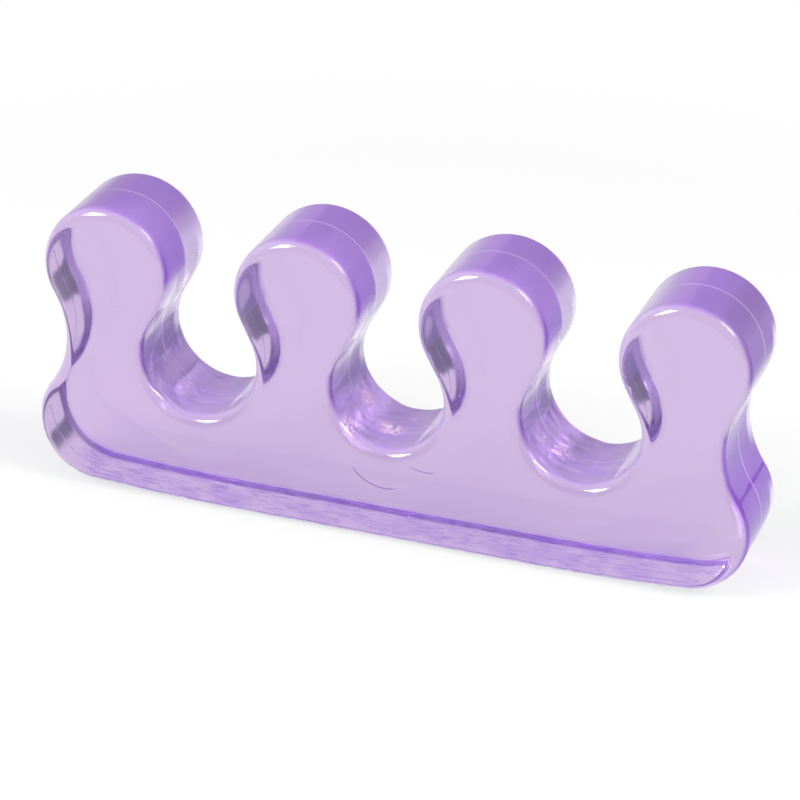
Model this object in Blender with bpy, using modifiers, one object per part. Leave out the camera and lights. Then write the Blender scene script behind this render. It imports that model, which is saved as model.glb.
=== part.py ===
"""Soft gel toe separator, moulded in one piece.

A straight bar carries a row of round-headed posts. Between two posts is a round
bed for a toe, open at the top through the mouth between the two heads. The bar
ends a little outside the outer posts, in full rounds that rise slightly off the
surface it stands on. Every edge of the two flat faces is rounded, and the
mould's parting line stands up as a fine rib round the middle of the wall.

X runs along the bar, Y through its thickness and Z up. The origin is at the
middle of the foot, on the surface that the part stands on.
"""

import math

import bmesh
import bpy

# The row of posts.
POST_COUNT = 4
HEAD_RADIUS = 0.0076
MOUTH_WIDTH = 0.0078
TOE_BED_RADIUS = 0.0069
NECK_STRAIGHT = 0.0030

# The bar under them.
BAR_HEIGHT = 0.0115
END_REACH = 0.0083
END_RADIUS = 0.0074
END_WAIST_RADIUS = 0.0106
FOOT_LENGTH = 0.0360
END_LIFT = 0.0006

# Through the thickness.
THICKNESS = 0.0136
EDGE_ROUNDING = 0.0015
PARTING_RIB_HEIGHT = 0.0002
PARTING_RIB_WIDTH = 0.0005

# How finely round stretches are drawn.
ARC_STEP = math.radians(11.0)
ROUNDING_SEGMENTS = 3
SHARP_ANGLE = math.radians(35.0)
FLAT_ANGLE = math.radians(0.1)
WELD_DISTANCE = 0.00001

# Clear lavender gel: colour, gloss and how it bends light.
GEL_COLOUR = (0.48, 0.27, 0.72, 1.0)
GEL_ROUGHNESS = 0.08
GEL_IOR = 1.45
GEL_TRANSMISSION = 0.9

HALF_TURN = math.pi
QUARTER_TURN = math.pi / 2

# Where the round stretches lie, worked out from the sizes above.
POST_PITCH = 2 * HEAD_RADIUS + MOUTH_WIDTH
BED_Z = BAR_HEIGHT + TOE_BED_RADIUS
NECK_RADII = TOE_BED_RADIUS + HEAD_RADIUS
HEAD_RISE = math.sqrt(NECK_RADII**2 + NECK_STRAIGHT**2 - (POST_PITCH / 2) ** 2)
HEAD_Z = BED_Z + HEAD_RISE
LAST_POST_X = POST_PITCH * (POST_COUNT - 1) / 2
END_X = LAST_POST_X + END_REACH - END_RADIUS
END_Z = END_LIFT + END_RADIUS

# The angle above level at which a toe bed's wall runs into the straight neck.
NECK_ANGLE = math.atan2(HEAD_RISE, POST_PITCH / 2) - math.atan2(NECK_STRAIGHT, NECK_RADII)


def arc(centre, radius, start, stop):
    """Points along an arc, from one angle to another, both ends included."""
    steps = math.ceil(abs(stop - start) / ARC_STEP)
    angles = [start + (stop - start) * k / steps for k in range(steps + 1)]
    return [(centre[0] + radius * math.cos(a), centre[1] + radius * math.sin(a)) for a in angles]


def direction(origin, target):
    """The angle of the line from one point to another."""
    return math.atan2(target[1] - origin[1], target[0] - origin[0])


def waist_centre():
    """Centre of the hollow round that touches both the last head and the bar's end."""
    head_distance = HEAD_RADIUS + END_WAIST_RADIUS
    end_distance = END_RADIUS + END_WAIST_RADIUS
    apart = math.hypot(LAST_POST_X - END_X, HEAD_Z - END_Z)
    up = (end_distance**2 - head_distance**2 + apart**2) / (2 * apart)
    out = math.sqrt(end_distance**2 - up**2)
    up_x = (LAST_POST_X - END_X) / apart
    up_z = (HEAD_Z - END_Z) / apart
    return END_X + up * up_x + out * up_z, END_Z + up * up_z - out * up_x


def right_end(grow, foot_grow):
    """The outline from the last head down to the foot: waist, full round, underside.

    The underside is one shallow arc that touches the flat foot and the round.
    """
    head = (LAST_POST_X, HEAD_Z)
    waist = waist_centre()
    end = (END_X, END_Z)
    run = END_X - FOOT_LENGTH / 2
    drop = (run**2 + END_LIFT**2) / (2 * END_LIFT)
    underside = (FOOT_LENGTH / 2, drop + END_RADIUS)
    lift_angle = math.asin(run / drop) - QUARTER_TURN
    full_turn = 2 * HALF_TURN
    points = arc(
        waist,
        END_WAIST_RADIUS - grow,
        direction(waist, head),
        direction(waist, end) + full_turn,
    )[1:]
    points += arc(end, END_RADIUS + grow, direction(end, waist), lift_angle)[1:]
    points += arc(underside, underside[1] + foot_grow, lift_angle, -QUARTER_TURN)[1:]
    return points


def outline(grow, foot_grow):
    """The whole outline, clockwise from the foot, with its walls moved out by grow.

    The underside has its own amount, so that a rib can sink into it.
    """
    end = right_end(grow, foot_grow)
    outer_angle = direction((LAST_POST_X, HEAD_Z), waist_centre())
    points = [(-x, z) for x, z in reversed(end)]
    for k in range(POST_COUNT):
        x = k * POST_PITCH - LAST_POST_X
        start = HALF_TURN + (NECK_ANGLE if k > 0 else -outer_angle)
        stop = -NECK_ANGLE if k < POST_COUNT - 1 else outer_angle
        points += arc((x, HEAD_Z), HEAD_RADIUS + grow, start, stop)
        if k < POST_COUNT - 1:
            bed = (x + POST_PITCH / 2, BED_Z)
            points += arc(
                bed, TOE_BED_RADIUS - grow, HALF_TURN - NECK_ANGLE, 2 * HALF_TURN + NECK_ANGLE
            )
    return points + end


def upright_plate(name, points, thickness, collection):
    """A plate of the given outline and thickness, standing in the XZ plane."""
    curve = bpy.data.curves.new(name + "_outline", "CURVE")
    curve.dimensions = "2D"
    curve.fill_mode = "BOTH"
    curve.extrude = thickness / 2
    spline = curve.splines.new("POLY")
    spline.points.add(len(points) - 1)
    for spline_point, (x, z) in zip(spline.points, points):
        spline_point.co = (x, z, 0.0, 1.0)
    spline.use_cyclic_u = True

    flat = bpy.data.objects.new(name + "_outline", curve)
    flat.rotation_euler.x = QUARTER_TURN
    collection.objects.link(flat)
    bpy.context.view_layer.update()
    evaluated = flat.evaluated_get(bpy.context.evaluated_depsgraph_get())
    mesh = bpy.data.meshes.new_from_object(evaluated)
    mesh.name = name

    # The caps are welded on, and each is made one face again.
    solid = bmesh.new()
    solid.from_mesh(mesh)
    bmesh.ops.remove_doubles(solid, verts=solid.verts, dist=WELD_DISTANCE)
    bmesh.ops.dissolve_limit(
        solid, angle_limit=FLAT_ANGLE, verts=solid.verts, edges=solid.edges
    )
    bmesh.ops.recalc_face_normals(solid, faces=solid.faces)
    solid.to_mesh(mesh)
    solid.free()

    plate = bpy.data.objects.new(name, mesh)
    plate.matrix_world = flat.matrix_world
    collection.objects.link(plate)
    bpy.data.objects.remove(flat)
    bpy.data.curves.remove(curve)
    return plate


def gel():
    """Clear, glossy lavender gel."""
    material = bpy.data.materials.new("lavender_gel")
    material.use_nodes = True
    shader = material.node_tree.nodes["Principled BSDF"]
    shader.inputs["Base Color"].default_value = GEL_COLOUR
    shader.inputs["Metallic"].default_value = 0.0
    shader.inputs["Roughness"].default_value = GEL_ROUGHNESS
    shader.inputs["IOR"].default_value = GEL_IOR
    shader.inputs["Transmission Weight"].default_value = GEL_TRANSMISSION
    return material


def new_collection(name):
    """A collection in the scene."""
    collection = bpy.data.collections.new(name)
    bpy.context.scene.collection.children.link(collection)
    return collection


def parting_rib(cutters):
    """A thin plate that shows past the wall as a rib, and stays inside the underside."""
    rib = upright_plate(
        "parting_rib",
        outline(PARTING_RIB_HEIGHT, -PARTING_RIB_HEIGHT),
        PARTING_RIB_WIDTH,
        cutters,
    )
    rib.hide_render = True
    rib.display_type = "WIRE"
    return rib


def toe_separator(parts, cutters):
    """The moulded gel piece."""
    body = upright_plate("toe_separator", outline(0.0, 0.0), THICKNESS, parts)
    body.data.materials.append(gel())
    body.data.shade_smooth()
    body.data.set_sharp_from_angle(angle=SHARP_ANGLE)

    rounding = body.modifiers.new("edge rounding", "BEVEL")
    rounding.width = EDGE_ROUNDING
    rounding.segments = ROUNDING_SEGMENTS
    rounding.limit_method = "ANGLE"
    rounding.angle_limit = SHARP_ANGLE

    union = body.modifiers.new("parting rib", "BOOLEAN")
    union.operation = "UNION"
    union.solver = "EXACT"
    union.object = parting_rib(cutters)
    return body


def main():
    """Clears the scene and makes the part."""
    for old in list(bpy.data.objects):
        bpy.data.objects.remove(old)
    parts = new_collection("toe_separator")
    cutters = new_collection("cutters")
    toe_separator(parts, cutters)


main()
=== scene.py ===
"""Studio picture of a clear lavender gel toe separator.

The gel piece is one smooth closed surface: an outline of round stretches, with
a section carried round it that has two flat faces, two rounded edges and a
parting rib. Slow waves, crinkles and a ragged foot are pushed into it. It takes
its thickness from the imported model, and stands on a white floor between two
soft lamps.

Lengths are in metres, X runs along the bar, Y through its thickness and Z up.
"""

import math

import bpy
import numpy as np
from bpy.props import FloatProperty, FloatVectorProperty, IntProperty, PointerProperty
from mathutils import Matrix, Vector


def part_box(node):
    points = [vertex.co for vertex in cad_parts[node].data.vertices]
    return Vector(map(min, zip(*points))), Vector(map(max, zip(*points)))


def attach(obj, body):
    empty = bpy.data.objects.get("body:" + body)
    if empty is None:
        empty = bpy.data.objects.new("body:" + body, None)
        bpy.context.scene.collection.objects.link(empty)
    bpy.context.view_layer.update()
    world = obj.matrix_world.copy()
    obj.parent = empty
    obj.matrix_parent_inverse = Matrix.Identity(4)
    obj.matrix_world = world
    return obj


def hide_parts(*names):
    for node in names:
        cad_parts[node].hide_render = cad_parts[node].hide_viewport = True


bl_info = {
    "name": "Gel toe separator",
    "version": (1, 0, 0),
    "blender": (4, 5, 0),
    "location": "View3D > Sidebar > Toe separator",
    "description": "Makes a clear gel toe separator on a white studio floor",
    "category": "Add Mesh",
}

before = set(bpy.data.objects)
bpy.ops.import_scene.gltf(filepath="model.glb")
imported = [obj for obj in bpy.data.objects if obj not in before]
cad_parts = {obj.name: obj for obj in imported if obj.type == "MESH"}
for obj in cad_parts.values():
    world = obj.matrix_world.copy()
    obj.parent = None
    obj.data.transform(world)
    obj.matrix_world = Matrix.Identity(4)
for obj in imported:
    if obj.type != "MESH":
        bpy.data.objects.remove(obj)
NODE = "toe_separator"
CAD_LOW, CAD_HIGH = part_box(NODE)
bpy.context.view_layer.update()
CAD_THICKNESS = CAD_HIGH[1] - CAD_LOW[1]

MM = 0.001
FLOOR_GAP = 0.02 * MM
HALF_TURN = math.pi
QUARTER_TURN = math.pi / 2
FULL_TURN = 2 * math.pi

# Fine marks on the front face, in millimetres: an arc's centre X and Z, its radius, the
# angle of its middle in degrees, how far it reaches to each side, and how strong it is.
FACE_MARKS = (
    (0.3, 11.6, 4.78, -109.0, 4.4, 1.0),
    (5.2, 14.6, 4.85, -95.0, 2.3, 0.9),
    (5.0, 21.6, 20.0, -132.0, 1.3, 0.25),
    (-32.5, 23.8, 0.05, 0.0, 1.0, 0.6),
    (-13.4, 7.8, 0.05, 0.0, 1.0, 0.5),
)
MARK_WIDTH = 0.22 * MM
MARK_DEPTH = 0.3 * MM

# Painted glints in the toe beds: pinkish-white patches that stand in for the lamps' sparkles
# there. In millimetres: middle X, Y and Z, reach and strength. A patch is at full strength over
# this share of its reach.
PAINTED_GLINT_PATCHES = (
    (-26.4, -1.2, 12.4, 1.9, 0.6),
    (-4.6, -5.0, 13.2, 1.9, 1.0),
    (-4.9, 1.4, 13.5, 2.0, 0.95),
    (-1.2, -1.0, 11.6, 2.2, 1.0),
    (17.4, -2.0, 14.2, 1.6, 0.8),
    (19.6, -0.7, 12.5, 2.0, 0.8),
)
PAINTED_GLINT_FULL = 0.4

# Fine grain in the material: the length of a fleck along each axis, and the two noise values
# between which it turns from none to full. The sparkles that the painted glints stand in for are
# too fine to show, and are drawn half a millimetre long. The streaks are as long as they look on
# the gel's foot.
PAINTED_GLINT_GRAIN = ((0.5 * MM, 0.5 * MM, 0.5 * MM), (0.38, 0.56))
STREAK_GRAIN = ((2.6 * MM, 0.5 * MM, 1.0 * MM), (0.48, 0.6))
GRAIN_DETAIL = 3.0

# Random waves in the surface: wavelengths along X, Y and Z in millimetres, how many sines are
# added up, and the seed.
SLOW_WAVES = ((9.0, 7.0, 9.0), 12, 3)
FOOT_STREAKS = ((5.0, 1.1, 3.0), 16, 5)
FOOT_BLOTCHES = ((5.0, 1.0, 3.0), 16, 7)
FOOT_SPECKS = ((1.6, 0.5, 1.0), 16, 8)
BED_CRINKLES = ((1.8, 2.2, 1.8), 16, 9)
EDGE_NICKS = ((1.7, 1.6, 1.7), 16, 11)
WAVE_SPREAD = (0.6, 1.6)
SPECK_SHARE = 0.6
BLOTCH_RANGE = (-0.8, 0.9)

# How the section is drawn: how far the flat faces run in, how near to the parting rib's
# middle the wall's points stop and the rib's start, and how many points each stretch has.
FACE_INSET = 4.4 * MM
WALL_STOP = 0.6 * MM
RIB_START = 0.5 * MM
FACE_POINTS = 6
EDGE_POINTS = 12
WALL_POINTS = 22
RIB_POINTS = 8

# The parting rib runs out over this height, from this height up.
RIB_FOOT = 0.4 * MM
RIB_RISE = 1.6 * MM

# The slimmer back edge ends at this height under the posts, and higher by the rise past
# them, and fades into the rounder one above it.
LOW_TOP = 7 * MM
LOW_END_RISE = 9 * MM
LOW_FADE = 4 * MM
PAST_POSTS = (36 * MM, 38 * MM)

# Where steps in the gel's cloudiness and its painted light and shade start and end. Up and
# across are the parts of the wall's outward direction along Z and X, and left is the opposite of
# across.
TOP_UP = (0.25, 0.8)
CROWN_TINT_UP = (0.1, 0.7)
RIGHT_UP = (-0.35, 0.15)
RIGHT_ACROSS = (0.1, 0.4)
LAST_DARK_ACROSS = (0.2, 0.6)
LEFT_PALE = (0.2, 0.7)
LEFT_SATIN = (0.3, 0.7)
LEFT_TINT = (0.0, 0.3)
TOP_LEFT_PALE = (-0.1, 0.4)
TOP_LEFT_UP = (0.2, 0.6)
BED_RIGHT_UP = (-0.3, -0.1)
BED_LEFT_UP = (-0.05, 0.4)
BED_TINT_UP = (0.35, 0.95)
CRINKLE_UP = (0.2, 0.6)
CRINKLE_ACROSS = (-0.3, 0.1)
UNDER_DOWN = (0.8, 0.98)
BACK_EDGE_UP = (0.1, 0.4)

# The same for heights, for depths through the thickness, and for depths and insets as shares
# of the edges' roundings. The neck's drops are down from the middle of a head.
HEAD_FADE = 4.0 * MM
NECK_DROP = (4.0 * MM, 3.4 * MM)
END_FOOT = (1.0 * MM, 4.0 * MM)
END_TOP = (20.0 * MM, 23.0 * MM)
BEFORE_LINE = (-0.6 * MM, 0.1 * MM)
EDGE_FADE = (0.1, 0.6)
NICKS_START = 0.3
NICKS_END = (1.2 * MM, 2.6 * MM)
BLOTCH_END = (1.5 * MM, 3.5 * MM)
BACK_EDGE_DEPTH = (1.4, 2.0)
BACK_EDGE_INSET = (0.12, 0.3)

# Shares by which painted light and painted shade make the tint paler or darker, how strong the
# painted shade is where a bed's wall stands upright, and how cloudy and how tinted the
# underside's streaks are.
LEFT_PAINTED_LIGHT = 0.35
TOP_LEFT_PAINTED_LIGHT = 0.2
BEHIND_PAINTED_LIGHT = 0.65
LAST_PAINTED_SHADE = 0.22
BED_TINT_LEAST = 0.2
CLOUDY_BLOTCH = 0.25
STREAK_TINT = (0.15, 0.4)
BACK_EDGE_PAINTED_LIGHT = 0.5

# Light turns back inside the gel many times before it comes out.
GEL_BOUNCES = 32

# The studio: plain white, the board's own white, each lamp's azimuth and elevation, the point
# that the lamps face, and the width of the camera's sensor in millimetres.
WHITE = (1, 1, 1, 1)
BOARD_WHITE = 0.92
LEFT_LAMP = (math.radians(-44), math.radians(38))
RIGHT_LAMP = (math.radians(80), math.radians(44))
LAMP_AIM = (0, 0, 0.02)
SENSOR_WIDTH = 36.0

# The grey card: where its middle is, half its sides, how far out it is solid, and its colour.
CARD_AZIMUTH = math.radians(142)
CARD_DISTANCE = 0.22
CARD_HEIGHT = 0.04
CARD_HALF_WIDTH = 0.12
CARD_HALF_HEIGHT = 0.06
CARD_SOLID = 0.4
CARD_COLOUR = (0.17, 0.18, 0.24)


def linear(hex_colour):
    """An sRGB colour such as #b38fdc, as linear red, green and blue."""
    channels = [int(hex_colour[k : k + 2], 16) / 255 for k in (1, 3, 5)]
    return tuple(c / 12.92 if c <= 0.04045 else ((c + 0.055) / 1.055) ** 2.4 for c in channels)


def length(name, description, default):
    """A length as a setting."""
    return FloatProperty(name=name, description=description, default=default, unit="LENGTH")


def colour(name, description, default):
    """A linear colour as a setting."""
    return FloatVectorProperty(
        name=name, description=description, default=default,
        subtype="COLOR", size=3, min=0.0, max=1.0,
    )


class GelShape(bpy.types.PropertyGroup):
    """Sizes of the gel piece."""

    post_count: IntProperty(
        name="Posts", description="How many round-headed posts stand on the bar", default=4
    )
    head_radius: length("Head radius", "Radius of each post's round head", 7.6 * MM)
    mouth_width: length("Mouth width", "Gap between two heads", 7.8 * MM)
    toe_bed_radius: length("Toe bed radius", "Radius of the round bed for a toe", 6.9 * MM)
    neck_straight: length("Neck straight", "Straight stretch from bed to head", 3.0 * MM)
    bar_height: length("Bar height", "Height of the bar under a toe bed", 11.5 * MM)
    end_reach: length("End reach", "How far the bar runs past the last post's middle", 8.3 * MM)
    end_radius: length("End radius", "Radius of the bar's round end", 7.4 * MM)
    end_waist_radius: length(
        "Waist radius", "Radius of the hollow between the end and the last head", 10.6 * MM
    )
    foot_length: length("Foot length", "Flat stretch of the underside", 36.0 * MM)
    end_lift: length("End lift", "How far the ends rise off the floor", 0.6 * MM)
    edge_rounding: length("Edge rounding", "Radius of the front face's edge", 1.5 * MM)
    back_rounding: length("Back rounding", "Radius of the back face's edge", 1.75 * MM)
    low_rounding: length("Low rounding", "The same low on the bar", 1.1 * MM)
    rib_height: length("Parting rib height", "How far the parting rib stands out", 0.02 * MM)
    rib_width: length("Parting rib width", "Width of the parting rib", 0.12 * MM)
    head_leans: FloatVectorProperty(
        name="Head leans", description="How far each soft head leans along the bar, left to right",
        size=4, default=(-0.1 * MM, 0.2 * MM, -0.7 * MM, -0.4 * MM), unit="LENGTH",
    )
    wall_wave: length(
        "Wall wave", "Height of the slow waves that the mould left in the wall", 0.012 * MM
    )
    foot_roughness: length(
        "Foot roughness", "Height of the ragged streaks on the underside", 0.012 * MM
    )
    ragged_edge: length("Ragged edge", "Height of the nicks along the foot's front edge", 0.07 * MM)
    wall_share: FloatProperty(
        name="Wall share", description="How cloudy the side walls are beside the crowns",
        default=0.2,
    )
    # Painted shade: how much deeper cloudy purple the tops, the right walls and the left walls get.
    top_shade_share: FloatProperty(
        name="Top share", description="How cloudy the tops of the heads are beside their right walls",
        default=0.85,
    )
    behind_line_shade: FloatProperty(
        name="Behind the line", description="How cloudy the right walls are behind the parting line",
        default=0.6,
    )
    left_shade_share: FloatProperty(
        name="Left share", description="How purple the pale left walls are beside the right ones",
        default=0.55,
    )
    soft_left: FloatProperty(
        name="Soft left walls", description="How satin the left walls are beside the tops",
        default=0.45,
    )
    foot_share: FloatProperty(
        name="Foot share", description="How cloudy the underside is away from its streaks",
        default=0.12,
    )
    # Painted light: how much the pale paint covers the back face's rounded edge.
    back_edge_light_share: FloatProperty(
        name="Back share", description="How cloudy the back face's rounded edge is", default=1.0
    )
    crinkle: length("Crinkle", "Height of the fine crinkles in the toe beds", 0.045 * MM)
    # Painted shade: how much deeper cloudy purple the toe beds get.
    bed_shade_share: FloatProperty(
        name="Bed share", description="How cloudy the toe beds are beside the crowns", default=0.7
    )
    spacing: length("Mesh spacing", "Distance between points along the outline", 0.4 * MM)


class GelFinish(bpy.types.PropertyGroup):
    """Colour and gloss of the gel."""

    tint: colour("Tint", "What is left of white light after the tint depth", linear("#eee3f6"))
    tint_depth: length("Tint depth", "Depth of gel that gives the tint", 10.0 * MM)
    skin_colour: colour(
        "Skin colour", "Tint of the light that crosses the gel, however thin it is", linear("#eadef0")
    )
    # Crown, side, left and bed colours are painted shade, set by which way a wall faces.
    crown_shade_colour: colour(
        "Crown colour", "Colour of the light that the cloudy crowns send back", linear("#b088dd")
    )
    side_shade_colour: colour("Side colour", "The same for the upright walls", linear("#8b56c7"))
    left_shade_colour: colour("Left colour", "The same for the walls that face left", linear("#6a50f0"))
    bed_shade_colour: colour("Bed colour", "The same for the floors of the toe beds", linear("#d0b5ea"))
    foot_colour: colour("Foot colour", "The same for the streaks of the underside", linear("#ae86e6"))
    # Painted light: the back edge's pale colour lifts the dark band that shows through the gel.
    back_edge_light_colour: colour("Back colour", "The same for the back face's rounded edge", linear("#dcc6ff"))
    seam_colour: colour("Seam colour", "Colour of the matt parting line", linear("#d8c0f0"))
    # Painted glints: the pinkish-white patches in the toe beds stand in for the lamps' sparkles.
    painted_glint_colour: colour(
        "Frost colour", "Colour of the frosted patches in the toe beds", linear("#ffdcff")
    )
    mark_colour: colour("Mark colour", "Colour of the fine marks on the front face", linear("#8c62b4"))
    shadow_share: colour(
        "Shadow share", "Share of the lamps' light that each wall lets through to the floor",
        (0.8, 0.86, 0.79),
    )
    haze: FloatProperty(name="Haze", description="How cloudy the cloudiest gel is", default=0.78)
    seam: FloatProperty(name="Seam", description="How cloudy the parting line is", default=0.85)
    ior: FloatProperty(name="IOR", description="How strongly the gel bends light", default=1.48)
    roughness: FloatProperty(name="Roughness", description="Blur of the gel's surface", default=0.04)
    foot_roughness: FloatProperty(
        name="Foot roughness", description="Blur of the ragged underside",
        default=0.1,
    )
    satin_roughness: FloatProperty(
        name="Satin roughness", description="Blur of the satin tops of the heads",
        default=0.32,
    )
    streaks: FloatProperty(
        name="Streaks", description="How cloudy the fine streaks of the underside are",
        default=0.6,
    )


class StudioSetup(bpy.types.PropertyGroup):
    """Floor, lamps and camera."""

    floor_size: length("Floor size", "Side of the white floor", 6.0)
    floor_lift: FloatProperty(
        name="Floor lift", description="Share of the seen floor's white that no shadow darkens",
        default=0.4,
    )
    through_lift: FloatProperty(
        name="Floor lift through gel",
        description="The same share where the floor is seen through the gel",
        default=0.72,
    )
    floor_near: length("Lit floor", "Radius round the part where lamps light the floor", 0.16)
    lamp_distance: length("Lamp distance", "From the part to each softbox", 1.0)
    lamp_side: length("Lamp side", "Side of each square softbox", 0.4)
    key_watts: FloatProperty(
        name="Key power", description="Power of the left softbox", default=8.0, unit="POWER"
    )
    fill_watts: FloatProperty(
        name="Fill power", description="Power of the right softbox", default=6.6, unit="POWER"
    )
    ambient: FloatProperty(
        name="Ambient", description="Light from all round, where 1 is white",
        default=0.25,
    )
    camera_azimuth: FloatProperty(
        name="Camera azimuth", description="Turn of the camera round the part",
        default=math.radians(17.9), subtype="ANGLE",
    )
    camera_elevation: FloatProperty(
        name="Camera elevation", description="Height of the camera above level",
        default=math.radians(25.3), subtype="ANGLE",
    )
    camera_roll: FloatProperty(
        name="Camera roll", description="Turn of the camera about its own line of sight",
        default=math.radians(2.2), subtype="ANGLE",
    )
    camera_distance: length("Camera distance", "From the camera to its aim", 0.424)
    camera_aim: FloatVectorProperty(
        name="Camera aim", description="Point in the middle of the picture",
        size=3, default=(-0.4 * MM, 0.0, 14.9 * MM), unit="LENGTH",
    )
    camera_lens: FloatProperty(
        name="Lens", description="Focal length in millimetres on a 36 mm sensor",
        default=166.0,
    )


# Outline

def round_stretch(centre, radius, start, stop, side, spacing):
    """Points and outward directions along an arc.

    A point is centre + radius (cos a, sin a) for angles a from start to stop,
    and its outward direction is side (cos a, sin a), where side is 1 on a
    convex wall and -1 on a hollow one. The last point is left to the next
    stretch.
    """
    count = max(2, round(abs(stop - start) * radius / spacing))
    angle = start + (stop - start) * np.arange(count) / count
    ray = np.column_stack([np.cos(angle), np.sin(angle)])
    return np.asarray(centre) + radius * ray, side * ray


def straight_stretch(first, last, outward, spacing):
    """Points evenly along a straight line, with one outward direction."""
    first = np.asarray(first)
    run = np.asarray(last) - first
    count = max(2, round(float(np.hypot(*run)) / spacing))
    points = first + run * (np.arange(count) / count)[:, None]
    return points, np.tile(outward, (count, 1))


def direction(origin, target):
    """Angle of the line from one point to another, from 0 to a full turn."""
    return math.atan2(target[1] - origin[1], target[0] - origin[0]) % FULL_TURN


def on_circle(centre, radius, angle):
    """The point of a circle at an angle."""
    return centre[0] + radius * math.cos(angle), centre[1] + radius * math.sin(angle)


def outline(shape):
    """Points and outward directions of the whole outline, clockwise from the foot's left end.

    Each bed and the head beside it are joined by their inner tangent. The end
    is a convex round, joined to the last head by a hollow round that touches
    both, and to the flat foot by one shallow arc that touches both.
    """
    pitch, last_x = post_row(shape)
    bed_z = shape.bar_height + shape.toe_bed_radius
    radii = shape.toe_bed_radius + shape.head_radius
    rise = math.sqrt(radii**2 + shape.neck_straight**2 - (pitch / 2) ** 2)
    head_z = bed_z + rise
    neck = math.atan2(rise, pitch / 2) - math.atan2(shape.neck_straight, radii)

    end = (last_x + shape.end_reach - shape.end_radius, shape.end_lift + shape.end_radius)
    head = (last_x, head_z)
    head_distance = shape.head_radius + shape.end_waist_radius
    end_distance = shape.end_radius + shape.end_waist_radius
    apart = math.dist(head, end)
    up = (end_distance**2 - head_distance**2 + apart**2) / (2 * apart)
    out = math.sqrt(end_distance**2 - up**2)
    up_x = (head[0] - end[0]) / apart
    up_z = (head[1] - end[1]) / apart
    waist = (end[0] + up * up_x + out * up_z, end[1] + up * up_z - out * up_x)

    run = end[0] - shape.foot_length / 2
    drop = (run**2 + shape.end_lift**2) / (2 * shape.end_lift)
    under = (shape.foot_length / 2, drop + shape.end_radius)
    lift = math.asin(run / drop) - QUARTER_TURN

    step = shape.spacing
    stretches = []
    for k in range(shape.post_count):
        x = k * pitch - last_x
        if k > 0:
            start = HALF_TURN + neck
        else:
            start = HALF_TURN - direction(head, waist) + FULL_TURN
        stop = -neck if k < shape.post_count - 1 else direction(head, waist) - FULL_TURN
        stretches.append(round_stretch((x, head_z), shape.head_radius, start, stop, 1, step))
        if k == shape.post_count - 1:
            break
        bed = (x + pitch / 2, bed_z)
        next_head = (x + pitch, head_z)
        left = (-math.cos(neck), math.sin(neck))
        stretches.append(
            straight_stretch(
                on_circle((x, head_z), shape.head_radius, -neck),
                on_circle(bed, shape.toe_bed_radius, HALF_TURN - neck),
                (-left[0], -left[1]),
                step,
            )
        )
        stretches.append(
            round_stretch(bed, shape.toe_bed_radius, HALF_TURN - neck, FULL_TURN + neck, -1, step)
        )
        stretches.append(
            straight_stretch(
                on_circle(bed, shape.toe_bed_radius, neck),
                on_circle(next_head, shape.head_radius, HALF_TURN + neck),
                (left[0], -left[1]),
                step,
            )
        )
    hollow = (direction(waist, head), direction(waist, end))
    right = [
        round_stretch(waist, shape.end_waist_radius, *hollow, -1, step),
        round_stretch(end, shape.end_radius, direction(end, waist), lift, 1, step),
        round_stretch(under, under[1], lift, -QUARTER_TURN, 1, step),
    ]
    points = np.concatenate([s[0] for s in right])
    outward = np.concatenate([s[1] for s in right])
    foot_end = shape.foot_length / 2
    foot = straight_stretch((foot_end, 0.0), (-foot_end, 0.0), (0.0, -1.0), step)
    mirror = np.array([-1.0, 1.0])
    closing = np.array([[-foot_end, 0.0]])
    left_points = np.concatenate([closing, (points * mirror)[:0:-1]])
    left_outward = np.concatenate([[[0.0, -1.0]], (outward * mirror)[:0:-1]])
    all_points = [left_points] + [s[0] for s in stretches] + [points, foot[0]]
    all_outward = [left_outward] + [s[1] for s in stretches] + [outward, foot[1]]
    return np.concatenate(all_points), np.concatenate(all_outward)


# Surface

def half_section(half, rounding):
    """One half of the section, from its flat face to the parting line.

    The flat face runs in to a narrow slit, and the wall is straight. The edge is
    a quarter round: inset rounding (1 - sin a) and depth half - rounding (1 -
    cos a) for angles a from 0 to a quarter turn.
    """
    face_inset = np.linspace(FACE_INSET, rounding, FACE_POINTS)[:-1]
    turn = np.linspace(0.0, QUARTER_TURN, EDGE_POINTS)
    wall_y = np.linspace(half - rounding, WALL_STOP, WALL_POINTS)[1:]
    rib_y = np.linspace(RIB_START, 0.0, RIB_POINTS)
    inset = np.concatenate([face_inset, rounding * (1 - np.sin(turn)), 0 * wall_y, 0 * rib_y])
    y = np.concatenate([0 * face_inset + half, half - rounding * (1 - np.cos(turn)), wall_y, rib_y])
    return inset, y


def section(shape, thickness, back_rounding):
    """The section carried round the outline, from the front face to the back face.

    Each row has how far it lies inside the outline and how far through the
    thickness.
    """
    front_inset, front_y = half_section(thickness / 2, shape.edge_rounding)
    back_inset, back_y = half_section(thickness / 2, back_rounding)
    inset = np.concatenate([front_inset, back_inset[-2::-1]])
    return inset, np.concatenate([-front_y, back_y[-2::-1]])


def waves(points, wavelength, count, seed):
    """A smooth random height between about -1 and 1 at each point.

    It is the sum of sines, sin(w . p + c), over the root of their count. Their
    directions are random, and their wavelengths spread about the one given for
    each axis.
    """
    dice = np.random.default_rng(seed)
    turns = dice.normal(size=(count, 3))
    turns /= np.linalg.norm(turns, axis=1)[:, None]
    turns *= FULL_TURN * dice.uniform(*WAVE_SPREAD, size=(count, 1))
    phase = dice.uniform(0.0, FULL_TURN, size=count)
    place = points / (np.array(wavelength) * MM)
    return np.sin(place @ turns.T + phase).sum(axis=1) / math.sqrt(count)


def smooth_step(value, low, high):
    """0 below low, 1 above high, and an even S between them."""
    share = np.clip((value - low) / (high - low), 0.0, 1.0)
    return share * share * (3 - 2 * share)


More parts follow.
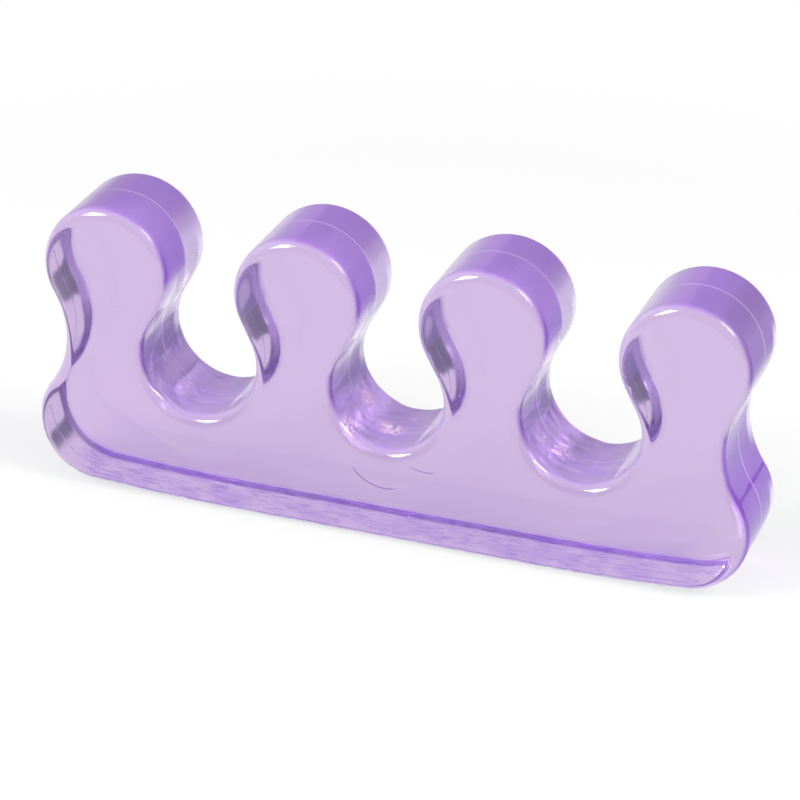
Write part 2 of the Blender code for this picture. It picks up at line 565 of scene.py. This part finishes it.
def post_row(shape):
    """The pitch of the posts, and the last post's X."""
    pitch = 2 * shape.head_radius + shape.mouth_width
    return pitch, pitch * (shape.post_count - 1) / 2


def lean(shape, points):
    """Moves each head along the bar by its own lean, growing from the bed's floor to the head."""
    pitch, last_x = post_row(shape)
    post = np.clip(np.round((points[:, 0] + last_x) / pitch).astype(int), 0, shape.post_count - 1)
    leans = np.array(shape.head_leans)[post]
    high = shape.bar_height + shape.toe_bed_radius + shape.head_radius
    points[:, 0] += leans * smooth_step(points[:, 2], shape.bar_height, high)


def cloud_and_painted_shade(shape, finish, points, outward, depth):
    """How cloudy the wall is at each outline point and depth, its painted shade, and how satin it is.

    Up and across are the parts of the outward direction along Z and X, so up is
    1 on top of a wall. The cloudy parts carry painted shade: a deeper purple, set
    by which way the wall faces, that stands in for light running long through the
    gel and turned back inside it. The tops of the heads are cloudy. So are the right
    walls down to where they turn under, fully in front of the parting line and partly
    behind it, and the last post's through the whole thickness. The left walls
    of all posts but the first are cloudy down to the straight neck, the beds
    from their upright walls to their floors, and the right end all over.

    The tint is skin + deep (wall - skin), where wall runs from the side's
    painted shade colour to the top's or the bed's as the wall turns up. It is
    painted paler on the left and behind the parting line, as painted light, and
    painted darker on the last head's right wall, as painted shade.
    The tops and right walls are satin, and the left walls are so in part.
    """
    last_x = post_row(shape)[1]
    bed_z = shape.bar_height + shape.toe_bed_radius
    x, z = points[:, 0], points[:, 1]
    across, up = outward[:, 0], outward[:, 1]
    head_z = z.max() - shape.head_radius
    on_head = smooth_step(z, bed_z, bed_z + HEAD_FADE)
    top = smooth_step(up, *TOP_UP)
    before_line = 1 - smooth_step(depth, *BEFORE_LINE)
    last = (x > last_x) * 1.0
    side_share = shape.behind_line_shade + (1 - shape.behind_line_shade) * before_line
    share = last[:, None] + (1 - last)[:, None] * side_share[None, :]
    right = smooth_step(up, *RIGHT_UP) * smooth_step(across, *RIGHT_ACROSS)
    inner = (x > -last_x + shape.head_radius) * 1.0
    left = smooth_step(z, head_z - NECK_DROP[0], head_z - NECK_DROP[1]) * (across < 0) * inner
    heads = np.maximum(shape.top_shade_share * top[:, None], right[:, None] * share)
    upright = np.where(across > 0, smooth_step(up, *BED_RIGHT_UP), smooth_step(up, *BED_LEFT_UP))
    at_end = last * smooth_step(z, *END_FOOT) * (1 - smooth_step(z, *END_TOP))
    low = np.maximum(shape.bed_shade_share * upright * (1 - last), at_end)
    purple = on_head[:, None] * heads + (1 - on_head)[:, None] * low[:, None]
    cloudy = np.maximum(np.maximum(purple, (left * on_head)[:, None]), shape.wall_share)

    deep = np.clip(purple / shape.bed_shade_share, shape.left_shade_share * cloudy, 1.0)
    lift = np.where(last > 0, on_head, 1.0) * smooth_step(up, *CROWN_TINT_UP)
    in_bed = (1 - on_head) * (1 - last)
    bed_lift = BED_TINT_LEAST + (1 - BED_TINT_LEAST) * smooth_step(up, *BED_TINT_UP)
    lift = np.maximum(lift, in_bed * bed_lift)
    skin = np.array(finish.skin_colour)
    side = np.array(finish.side_shade_colour)
    side = side + smooth_step(-across, *LEFT_TINT)[:, None] * (np.array(finish.left_shade_colour) - side)
    lifted = on_head[:, None] * np.array(finish.crown_shade_colour)
    lifted = lifted + (1 - on_head)[:, None] * np.array(finish.bed_shade_colour)
    wall = side + lift[:, None] * (lifted - side)
    # Painted light makes the left walls, the tops' left and the walls behind the parting line paler;
    # painted shade darkens the last head's right wall.
    painted_light_left = LEFT_PAINTED_LIGHT * smooth_step(-across, *LEFT_PALE)
    painted_light_top = TOP_LEFT_PAINTED_LIGHT * smooth_step(-across, *TOP_LEFT_PALE) * smooth_step(up, *TOP_LEFT_UP)
    deep *= (1 - painted_light_left - painted_light_top)[:, None]
    behind = ((1 - last) * on_head * right * (1 - top))[:, None] * (1 - before_line)
    deep *= 1 - BEHIND_PAINTED_LIGHT * behind
    tint = skin + deep[:, :, None] * (wall[:, None, :] - skin)
    tint *= (1 - LAST_PAINTED_SHADE * last * smooth_step(across, *LAST_DARK_ACROSS) * on_head)[:, None, None]
    soft_left = shape.soft_left * smooth_step(-across, *LEFT_SATIN)
    return cloudy, tint, np.maximum(on_head[:, None] * heads, soft_left[:, None])


def plain_grid(shape, points, outward, thickness):
    """The surface before it is pushed, with its inset, depth and rib, as a grid of points.

    The point at outline point i and section row j is outline point i, moved in
    by the row's inset along the outward direction, at the row's depth. Low on
    the bar the section with the slimmer back edge takes over. The rib stands
    out by its height times exp(-(depth / width) squared).
    """
    inset, depth = section(shape, thickness, shape.back_rounding)
    low_inset, low_depth = section(shape, thickness, shape.low_rounding)
    low_top = LOW_TOP + LOW_END_RISE * smooth_step(np.abs(points[:, 0]), *PAST_POSTS)
    low = (1 - smooth_step(points[:, 1], low_top, low_top + LOW_FADE))[:, None]
    rib = np.clip((points[:, 1] - RIB_FOOT) / RIB_RISE, 0.0, 1.0)[:, None]
    rib = rib * np.exp(-((depth / shape.rib_width) ** 2))
    inward = inset + low * (low_inset - inset) - shape.rib_height * rib
    flat = points[:, None, :] - inward[:, :, None] * outward[:, None, :]
    grid = np.stack([flat[:, :, 0], depth + low * (low_depth - depth), flat[:, :, 1]], axis=-1)
    return grid, inset, depth, rib


def relief(shape, grid, points, outward, depth, rim):
    """How far each point is pushed along its outward direction. Rim is its depth in from a face.

    Slow waves run over the walls and fine crinkles over the beds' left walls
    and floors. On the underside the absolute value of the waves is taken off,
    which leaves ragged ridges, and nicks are cut along its front edge.
    """
    size = grid.shape[:2]
    vertices = grid.reshape(-1, 3)
    across, up = outward[:, 0], outward[:, 1]
    slow, streak, crinkle, nicks = (
        waves(vertices, *kind).reshape(size)
        for kind in (SLOW_WAVES, FOOT_STREAKS, BED_CRINKLES, EDGE_NICKS)
    )
    under = smooth_step(-up, *UNDER_DOWN)[:, None]
    in_bed = smooth_step(up, *CRINKLE_UP) * (points[:, 1] < shape.bar_height + shape.toe_bed_radius)
    in_bed = in_bed * smooth_step(across, *CRINKLE_ACROSS)
    in_bed = in_bed * (np.abs(points[:, 0]) < post_row(shape)[1])
    height = shape.wall_wave * slow * (1 - under) - shape.foot_roughness * np.abs(streak) * under
    height += shape.crinkle * crinkle * in_bed[:, None]
    at_front = smooth_step(rim, 0.0, NICKS_START * shape.edge_rounding)
    at_front = at_front * (1 - smooth_step(rim, *NICKS_END)) * (depth < 0)
    height *= smooth_step(rim, 0.0, shape.edge_rounding)
    return height - shape.ragged_edge * np.abs(nicks) * under * at_front


def painted_glints(vertices):
    """How strongly each point carries a painted glint: a patch's strength near its middle, fading out
    at its reach.
    """
    glinting = np.zeros(len(vertices))
    for patch_x, patch_y, patch_z, reach, strength in PAINTED_GLINT_PATCHES:
        away = np.linalg.norm(vertices - np.array([patch_x, patch_y, patch_z]) * MM, axis=1)
        patch = 1 - smooth_step(away, PAINTED_GLINT_FULL * reach * MM, reach * MM)
        glinting = np.maximum(glinting, strength * patch)
    return glinting


def gel_surface(shape, finish, thickness):
    """Vertices, faces and painted marks of the gel piece.

    Grid points are joined in a ring by quads, and one face of many corners
    closes the front and one the back.
    """
    points, outward = outline(shape)
    grid, inset, depth, rib = plain_grid(shape, points, outward, thickness)
    around, across = grid.shape[:2]
    vertices = grid.reshape(-1, 3)
    rim = thickness / 2 - np.abs(depth)
    height = relief(shape, grid, points, outward, depth, rim)
    push = np.insert(outward, 1, 0.0, axis=1)
    vertices += (push[:, None, :] * height[:, :, None]).reshape(-1, 3)
    lean(shape, vertices)

    # The walls' cloudiness and painted shade, which start past the rounded edges.
    cloudy, tint, satin = cloud_and_painted_shade(shape, finish, points, outward, depth)
    past_edge = smooth_step(rim / shape.edge_rounding, *EDGE_FADE)[None, :]
    skin = np.array(finish.skin_colour)
    paint = np.ones((around, across, 4))
    paint[:, :, :3] = skin + past_edge[:, :, None] * (tint - skin)

    # The underside's ragged streaks are cloudy too, near the front.
    under = smooth_step(-outward[:, 1], *UNDER_DOWN)[:, None]
    blotch = waves(vertices, *FOOT_BLOTCHES) + SPECK_SHARE * waves(vertices, *FOOT_SPECKS)
    blotch = smooth_step(blotch.reshape(around, across), *BLOTCH_RANGE)
    blotch *= 1 - smooth_step(depth + thickness / 2, *BLOTCH_END)[None, :]
    cloudy = np.maximum(cloudy, under * (shape.foot_share + CLOUDY_BLOTCH * blotch))
    streaked = (under * (STREAK_TINT[0] + STREAK_TINT[1] * blotch))[:, :, None]
    paint[:, :, :3] += streaked * (np.array(finish.foot_colour) - paint[:, :, :3])

    # The back face's rounded edge, which shows through the gel, is cloudy and painted pale: painted
    # light that lifts the dark band it shows.
    back_edge = 1 - smooth_step((thickness / 2 - depth) / shape.back_rounding, *BACK_EDGE_DEPTH)
    back_edge *= 1 - smooth_step(inset / shape.back_rounding, *BACK_EDGE_INSET)
    level = (1 - smooth_step(outward[:, 1], *BACK_EDGE_UP))[:, None] * back_edge[None, :]
    cloudy = np.maximum(cloudy, shape.back_edge_light_share * level)
    back_edge_painted_light = np.array(finish.back_edge_light_colour)
    back_edge_painted_light = back_edge_painted_light + BACK_EDGE_PAINTED_LIGHT * (1 - under[:, :, None]) * (1 - back_edge_painted_light)
    paint[:, :, :3] += level[:, :, None] * (back_edge_painted_light - paint[:, :, :3])

    row = np.arange(around)
    next_row = (row + 1) % around
    column = np.arange(across - 1)
    quads = np.stack(
        [
            row[:, None] * across + column,
            next_row[:, None] * across + column,
            next_row[:, None] * across + column + 1,
            row[:, None] * across + column + 1,
        ],
        axis=-1,
    ).reshape(-1, 4)
    front = (row * across)[::-1].tolist()
    back = (row * across + across - 1).tolist()
    marks = {
        "underside": (under * smooth_step(rim, 0.0, shape.edge_rounding)).ravel(),
        "cloudy": (cloudy * np.maximum(past_edge, back_edge[None, :])).ravel(),
        "tint": paint.ravel(),
        "satin": (satin * past_edge).ravel(),
        "painted_glints": painted_glints(vertices),
        "seam": rib.ravel(),
    }
    return vertices, quads.tolist() + [front, back], marks


# Materials

def add(nodes, kind, *inputs, **settings):
    """Adds a node, sets its properties, and sets or links its inputs.

    The inputs in use take the plain values in their order. A name that the node
    has as a property is set there, and any other name is an input, with its
    spaces written as underscores. A value that is a node stands for that node's
    first output in use.
    """
    node = nodes.new(kind)
    filled = []
    for name, value in settings.items():
        if hasattr(node, name):
            setattr(node, name, value)
        else:
            filled.append((node.inputs[name.replace("_", " ")], value))
    filled += zip([socket for socket in node.inputs if socket.enabled], inputs)
    for socket, value in filled:
        if isinstance(value, bpy.types.Node):
            value = next(output for output in value.outputs if output.enabled)
        if isinstance(value, bpy.types.NodeSocket):
            nodes.id_data.links.new(value, socket)
        else:
            socket.default_value = value
    return node


def absorption(tint, depth):
    """Colour and density of a volume that leaves the tint of white light after the depth.

    The loss per metre is -ln(tint) / depth, and a volume loses density (1 -
    colour), so the channel that loses most has colour 0 and sets the density.
    """
    loss = [-math.log(channel) / depth for channel in tint]
    density = max(loss)
    return [1 - channel / density for channel in loss], density


def new_material(name):
    """A material without nodes, and the list that its nodes go into."""
    material = bpy.data.materials.new(name)
    material.use_nodes = True
    material.node_tree.nodes.clear()
    return material, material.node_tree.nodes


def face_marks(nodes):
    """How strongly a point carries one of the fine marks on the front face.

    A mark is strongest where the distance to its circle is 0, and fades to
    nothing at the mark's width and at its reach from the arc's middle.
    """
    place = add(nodes, "ShaderNodeTexCoord").outputs["Object"]
    flat = add(nodes, "ShaderNodeVectorMath", place, (1, 0, 1), operation="MULTIPLY")
    total = 0.0
    for centre_x, centre_z, radius, angle, reach, strength in FACE_MARKS:
        centre = Vector((centre_x, 0, centre_z)) * MM
        turn = math.radians(angle)
        middle = centre + Vector((math.cos(turn), 0, math.sin(turn))) * radius * MM
        away = add(nodes, "ShaderNodeVectorMath", flat, centre, operation="DISTANCE")
        off = add(nodes, "ShaderNodeMath", away, radius * MM, operation="SUBTRACT")
        line = add(
            nodes, "ShaderNodeMapRange", add(nodes, "ShaderNodeMath", off, operation="ABSOLUTE"),
            From_Max=MARK_WIDTH, To_Min=strength, To_Max=0.0, interpolation_type="SMOOTHSTEP",
        )
        along = add(nodes, "ShaderNodeVectorMath", flat, middle, operation="DISTANCE")
        near = add(
            nodes, "ShaderNodeMapRange", along, From_Min=reach * MM / 2, From_Max=reach * MM,
            To_Min=1.0, To_Max=0.0, interpolation_type="SMOOTHSTEP",
        )
        mark = add(nodes, "ShaderNodeMath", line, near, operation="MULTIPLY")
        total = add(nodes, "ShaderNodeMath", mark, total, operation="MAXIMUM")
    depth = add(nodes, "ShaderNodeSeparateXYZ", place).outputs["Y"]
    front = MARK_DEPTH - CAD_THICKNESS / 2
    in_front = add(nodes, "ShaderNodeMath", depth, front, operation="LESS_THAN")
    return add(nodes, "ShaderNodeMath", total, in_front, operation="MULTIPLY")


def grain(nodes, size, limits):
    """A fine random grain, 0 to 1, whose flecks are as long as size along each axis."""
    place = add(nodes, "ShaderNodeTexCoord").outputs["Object"]
    flecks = [1 / along for along in size]
    scaled = add(nodes, "ShaderNodeVectorMath", place, flecks, operation="MULTIPLY")
    noise = add(nodes, "ShaderNodeTexNoise", Vector=scaled, Scale=1.0, Detail=GRAIN_DETAIL)
    return add(nodes, "ShaderNodeMapRange", noise, *limits, interpolation_type="SMOOTHSTEP")


def gel_material(finish):
    """Clear elastomer gel, cast in a polished mould: glassy gloss, and colour that deepens with depth.

    Its tops are satin, and it is cloudy where the surface is marked so. Much of that colour is
    painted: painted shade on the walls, painted light on the back edge and painted glints in the
    beds. Lamps shine through it to the floor, tinted by each wall that they cross.
    """
    material, nodes = new_material("clear_lavender_elastomer_gel")
    underside, satin, cloudy, seam, glint_share = (
        add(nodes, "ShaderNodeAttribute", attribute_name=name).outputs["Fac"]
        for name in ("underside", "satin", "cloudy", "seam", "painted_glints")
    )
    polished = add(
        nodes, "ShaderNodeMapRange", underside, To_Min=finish.roughness, To_Max=finish.foot_roughness
    )
    soft = add(nodes, "ShaderNodeMath", satin, finish.satin_roughness, operation="MULTIPLY")
    rough = add(nodes, "ShaderNodeMath", polished, soft, operation="MAXIMUM")

    # The parting line, the painted glints, the foot's streaks and the face's marks lie over the plain
    # walls.
    streaks = add(nodes, "ShaderNodeMath", underside, grain(nodes, *STREAK_GRAIN), operation="MULTIPLY")
    dull = add(nodes, "ShaderNodeMath", cloudy, finish.haze, operation="MULTIPLY")
    surface_colour = add(nodes, "ShaderNodeAttribute", attribute_name="tint")
    for share, strength, paint in (
        (seam, finish.seam, finish.seam_colour),
        (glint_share, grain(nodes, *PAINTED_GLINT_GRAIN), finish.painted_glint_colour),
        (streaks, finish.streaks, finish.foot_colour),
        (face_marks(nodes), 1.0, finish.mark_colour),
    ):
        laid = add(nodes, "ShaderNodeMath", share, strength, operation="MULTIPLY")
        dull = add(nodes, "ShaderNodeMath", dull, laid, operation="MAXIMUM")
        surface_colour = add(nodes, "ShaderNodeMix", laid, surface_colour, (*paint, 1), data_type="RGBA")
    shader = add(
        nodes, "ShaderNodeBsdfPrincipled", Roughness=rough, Base_Color=surface_colour, IOR=finish.ior,
        Transmission_Weight=add(nodes, "ShaderNodeMath", 1.0, dull, operation="SUBTRACT"),
    )
    clear = add(nodes, "ShaderNodeBsdfTransparent", Color=(*finish.shadow_share, 1))
    ray = add(nodes, "ShaderNodeLightPath")
    surface = add(nodes, "ShaderNodeMixShader", ray.outputs["Is Shadow Ray"], shader, clear)
    tone, density = absorption(finish.tint, finish.tint_depth)
    depth = add(nodes, "ShaderNodeVolumeAbsorption", Color=(*tone, 1.0), Density=density)
    add(nodes, "ShaderNodeOutputMaterial", Surface=surface, Volume=depth)
    return material


def seen_white(nodes, in_glints):
    """1 on rays that show things to the camera, and 0 on rays that light them.

    Camera and transmission rays show things, and glossy ones do so in glints. A
    ray that has already left a matt surface counts as light, also through gel.
    """
    ray = add(nodes, "ShaderNodeLightPath").outputs
    seen = add(
        nodes, "ShaderNodeMath", ray["Is Camera Ray"], ray["Is Transmission Ray"], operation="MAXIMUM"
    )
    if in_glints:
        seen = add(nodes, "ShaderNodeMath", seen, ray["Is Glossy Ray"], operation="MAXIMUM")
    return add(
        nodes, "ShaderNodeMath", seen, ray["Diffuse Depth"], operation="SUBTRACT", use_clamp=True
    )


def floor_material(studio):
    """Matt white studio board, which runs into a plain white sweep away from the part.

    Its shadows look darker to the camera than they do through the gel, and it
    isn't seen from below.
    """
    material, nodes = new_material("matt_white_studio_board")
    board = add(nodes, "ShaderNodeBsdfDiffuse", Color=(BOARD_WHITE, BOARD_WHITE, BOARD_WHITE, 1))
    ray = add(nodes, "ShaderNodeLightPath")
    lift = add(
        nodes, "ShaderNodeMapRange", ray.outputs["Is Camera Ray"],
        To_Min=studio.through_lift, To_Max=studio.floor_lift,
    )
    place = add(nodes, "ShaderNodeTexCoord").outputs["Object"]
    far = add(
        nodes, "ShaderNodeMapRange", add(nodes, "ShaderNodeVectorMath", place, operation="LENGTH"),
        studio.floor_near / 2, studio.floor_near, interpolation_type="SMOOTHSTEP",
    )
    own = add(nodes, "ShaderNodeMath", lift, far, operation="MAXIMUM")
    share = add(nodes, "ShaderNodeMath", own, seen_white(nodes, True), operation="MULTIPLY")
    glow = add(nodes, "ShaderNodeEmission", Color=WHITE, Strength=1.0)
    clear = add(nodes, "ShaderNodeBsdfTransparent", Color=WHITE)
    top = add(nodes, "ShaderNodeMixShader", share, board, glow)
    below = add(nodes, "ShaderNodeNewGeometry").outputs["Backfacing"]
    surface = add(nodes, "ShaderNodeMixShader", below, top, clear)
    add(nodes, "ShaderNodeOutputMaterial", Surface=surface)
    return material


def studio_world(ambient):
    """White where it is seen, and a plain grey where it only lights things."""
    world = bpy.data.worlds.new("studio_world")
    world.use_nodes = True
    nodes = world.node_tree.nodes
    nodes.clear()
    strength = add(
        nodes, "ShaderNodeMapRange", seen_white(nodes, False), To_Min=ambient, To_Max=1.0
    )
    white = add(nodes, "ShaderNodeBackground", Color=WHITE, Strength=strength)
    add(nodes, "ShaderNodeOutputWorld", Surface=white)
    return world


# Studio

def toward(azimuth, elevation):
    """Unit direction from the part: azimuth 0 is to the front and turns to the right."""
    return Vector(
        (
            math.sin(azimuth) * math.cos(elevation),
            -math.cos(azimuth) * math.cos(elevation),
            math.sin(elevation),
        )
    )


def softbox(name, azimuth, elevation, studio, watts):
    """A square lamp that faces the part."""
    lamp = bpy.data.lights.new(name, "AREA")
    lamp.shape = "SQUARE"
    lamp.size = studio.lamp_side
    lamp.energy = watts
    holder = bpy.data.objects.new(name, lamp)
    away = toward(azimuth, elevation)
    holder.location = Vector(LAMP_AIM) + away * studio.lamp_distance
    holder.rotation_euler = away.to_track_quat("Z", "Y").to_euler()
    holder.visible_camera = False
    bpy.context.scene.collection.objects.link(holder)
    return holder


def grey_card():
    """A grey card behind the part, to the right, which only the gel's walls show.

    It is solid round its middle, and fades to nothing at its four sides.
    """
    material, nodes = new_material("grey_studio_card")
    away = toward(CARD_AZIMUTH, 0.0)
    along = Vector((-away.y, away.x, 0)).normalized()
    middle = away * CARD_DISTANCE + Vector((0, 0, CARD_HEIGHT))
    place = add(nodes, "ShaderNodeTexCoord").outputs["Object"]
    solid = 1.0
    for axis, half in ((along, CARD_HALF_WIDTH), (Vector((0, 0, 1)), CARD_HALF_HEIGHT)):
        spot = add(nodes, "ShaderNodeVectorMath", place, axis, operation="DOT_PRODUCT")
        off = add(nodes, "ShaderNodeMath", spot, axis.dot(middle), operation="SUBTRACT")
        window = add(
            nodes, "ShaderNodeMapRange", add(nodes, "ShaderNodeMath", off, operation="ABSOLUTE"),
            CARD_SOLID * half, half, 1.0, 0.0, interpolation_type="SMOOTHSTEP",
        )
        solid = add(nodes, "ShaderNodeMath", window, solid, operation="MULTIPLY")
    clear = add(nodes, "ShaderNodeBsdfTransparent", Color=WHITE)
    glow = add(nodes, "ShaderNodeEmission", Color=(*CARD_COLOUR, 1), Strength=1.0)
    surface = add(nodes, "ShaderNodeMixShader", solid, clear, glow)
    add(nodes, "ShaderNodeOutputMaterial", Surface=surface)
    reach = along * CARD_HALF_WIDTH
    rise = Vector((0, 0, CARD_HALF_HEIGHT))
    low = [middle - reach - rise, middle + reach - rise]
    corners = low + [middle + reach + rise, middle - reach + rise]
    card = new_mesh_object("grey_card", corners, [(0, 1, 2, 3)], material)
    card.visible_camera = False
    card.visible_shadow = False
    card.visible_diffuse = False
    card.visible_glossy = False


def camera(studio):
    """The camera, turned round its aim, then rolled about its line of sight."""
    data = bpy.data.cameras.new("studio_camera")
    data.sensor_width = SENSOR_WIDTH
    data.lens = studio.camera_lens
    holder = bpy.data.objects.new("studio_camera", data)
    away = toward(studio.camera_azimuth, studio.camera_elevation)
    place = Matrix.Translation(Vector(studio.camera_aim) + away * studio.camera_distance)
    turn = away.to_track_quat("Z", "Y").to_matrix().to_4x4()
    roll = Matrix.Rotation(studio.camera_roll, 4, "Z")
    holder.matrix_world = place @ turn @ roll
    bpy.context.scene.collection.objects.link(holder)
    bpy.context.scene.camera = holder


def new_mesh_object(name, vertices, faces, material):
    """A smooth-shaded mesh object at the origin."""
    mesh = bpy.data.meshes.new(name)
    mesh.from_pydata(np.asarray(vertices).tolist(), [], faces)
    mesh.materials.append(material)
    mesh.validate()
    mesh.shade_smooth()
    piece = bpy.data.objects.new(name, mesh)
    bpy.context.scene.collection.objects.link(piece)
    return piece


class GEL_OT_separator(bpy.types.Operator):
    """Make the clear gel toe separator in place of the plain solid"""

    bl_idname = "toe_separator.gel_piece"
    bl_label = "Gel piece"
    bl_options = {"REGISTER", "UNDO"}

    def execute(self, context):
        shape = context.scene.gel_shape
        finish = context.scene.gel_finish
        vertices, faces, marks = gel_surface(shape, finish, CAD_THICKNESS)
        piece = new_mesh_object("gel_toe_separator", vertices, faces, gel_material(finish))
        for name, values in marks.items():
            painted = name == "tint"
            attribute = piece.data.attributes.new(name, "FLOAT_COLOR" if painted else "FLOAT", "POINT")
            attribute.data.foreach_set("color" if painted else "value", values)
        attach(piece, "root")
        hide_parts(NODE)
        return {"FINISHED"}


class GEL_OT_stage(bpy.types.Operator):
    """Make the white floor, the world, the softboxes and the camera"""

    bl_idname = "toe_separator.stage"
    bl_label = "Studio"
    bl_options = {"REGISTER", "UNDO"}

    def execute(self, context):
        studio = context.scene.studio_setup
        half = studio.floor_size / 2
        corners = [(-half, -half, 0), (half, -half, 0), (half, half, 0), (-half, half, 0)]
        floor = new_mesh_object("studio_floor", corners, [(0, 1, 2, 3)], floor_material(studio))
        floor.location.z = -FLOOR_GAP
        context.scene.world = studio_world(studio.ambient)
        softbox("left_softbox", *LEFT_LAMP, studio, studio.key_watts)
        softbox("right_softbox", *RIGHT_LAMP, studio, studio.fill_watts)
        grey_card()
        camera(studio)
        context.scene.view_settings.view_transform = "Standard"
        context.scene.cycles.caustics_refractive = False
        context.scene.cycles.max_bounces = GEL_BOUNCES
        context.scene.cycles.transmission_bounces = GEL_BOUNCES
        return {"FINISHED"}


class GEL_PT_panel(bpy.types.Panel):
    """Sizes, finish and steps of the gel toe separator"""

    bl_idname = "GEL_PT_panel"
    bl_label = "Toe separator"
    bl_space_type = "VIEW_3D"
    bl_region_type = "UI"
    bl_category = "Toe separator"

    def draw(self, context):
        for group in (context.scene.gel_shape, context.scene.gel_finish, context.scene.studio_setup):
            for name in group.bl_rna.properties.keys():
                if name not in {"rna_type", "name"}:
                    self.layout.prop(group, name)
        self.layout.operator(GEL_OT_separator.bl_idname)
        self.layout.operator(GEL_OT_stage.bl_idname)


CLASSES = (GelShape, GelFinish, StudioSetup, GEL_OT_separator, GEL_OT_stage, GEL_PT_panel)


def register():
    """Registers the classes and puts their settings on the scene."""
    for kind in CLASSES:
        bpy.utils.register_class(kind)
    bpy.types.Scene.gel_shape = PointerProperty(type=GelShape)
    bpy.types.Scene.gel_finish = PointerProperty(type=GelFinish)
    bpy.types.Scene.studio_setup = PointerProperty(type=StudioSetup)


def unregister():
    """Takes the settings and the classes away."""
    del bpy.types.Scene.studio_setup
    del bpy.types.Scene.gel_finish
    del bpy.types.Scene.gel_shape
    for kind in reversed(CLASSES):
        bpy.utils.unregister_class(kind)


def main():
    register()
    bpy.ops.toe_separator.gel_piece()
    bpy.ops.toe_separator.stage()


if __name__ == "__main__":
    main()
